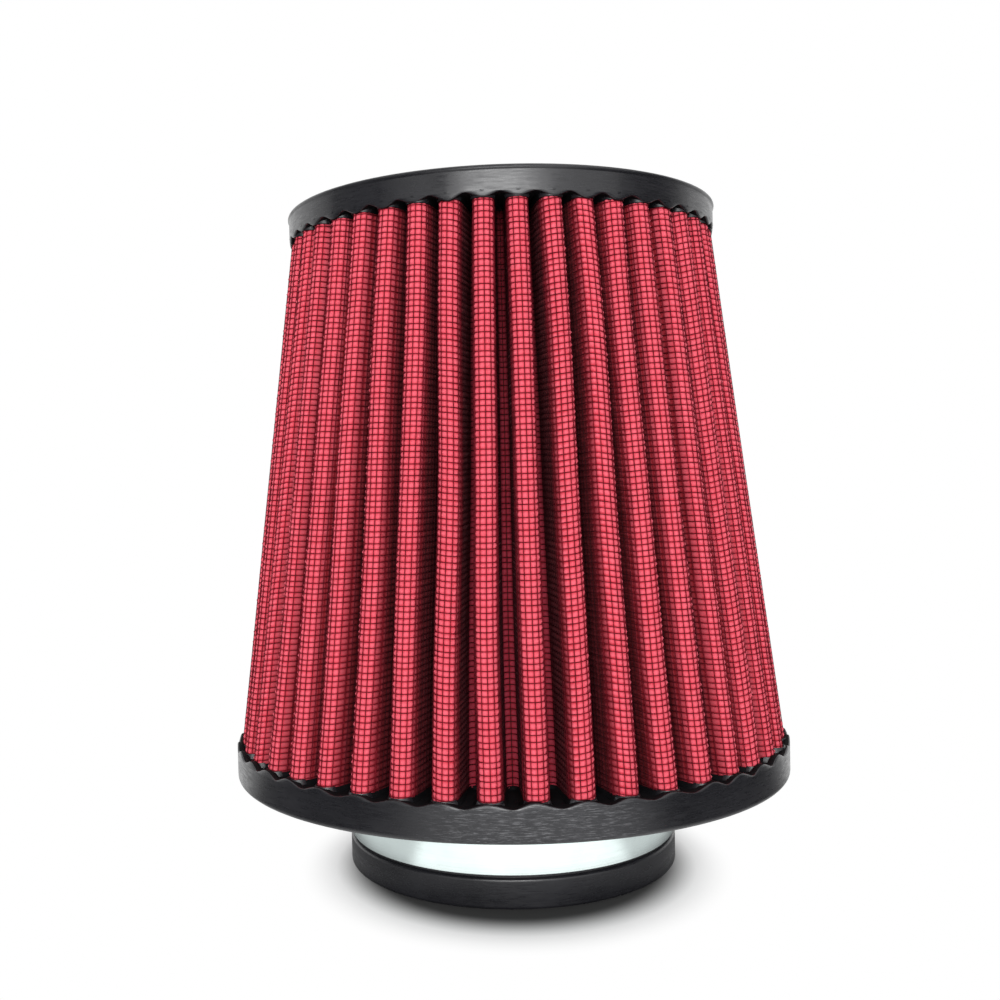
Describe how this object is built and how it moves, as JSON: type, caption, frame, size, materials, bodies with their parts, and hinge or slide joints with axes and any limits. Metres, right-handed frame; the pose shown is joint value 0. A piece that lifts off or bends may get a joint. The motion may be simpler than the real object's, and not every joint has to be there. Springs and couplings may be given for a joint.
{
  "type": "cone air filter",
  "caption": "Tapered clamp-on intake air filter: pleated cotton between wire cloth, moulded cap and base flange, and a worm-drive hose clamp on its neck.",
  "frame": {"origin": "centre of the neck's open mouth, on the surface that the filter stands on", "axes": "+Z along the filter's axis from the neck to the cap; +Y towards the hose clamp's screw housing; a pleat crest lies at -Y"},
  "size_m": [0.1524, 0.1524, 0.1784],
  "materials": {
    "moulded_rubber": "satin black moulded polyurethane",
    "coated_wire": "black coated woven wire cloth",
    "oiled_cotton": "red oiled cotton gauze",
    "clamp_steel": "bright stainless strip",
    "screw_steel": "zinc plated"
  },
  "bodies": {
    "filter": {"top_cap": "moulded_rubber", "base_flange": "moulded_rubber", "outer_screen": "coated_wire", "cotton_media": "oiled_cotton", "inner_screen": "coated_wire", "clamp_band": "clamp_steel", "clamp_saddle": "clamp_steel", "clamp_housing": "clamp_steel"},
    "screw": {"worm_screw": "screw_steel"}
  },
  "joints": [
    {"name": "clamp_screw", "type": "hinge", "parent": "filter", "child": "screw", "pos_m": [0, 0.04942, 0.01495], "axis": [1, 0, 0], "continuous": true}
  ]
}
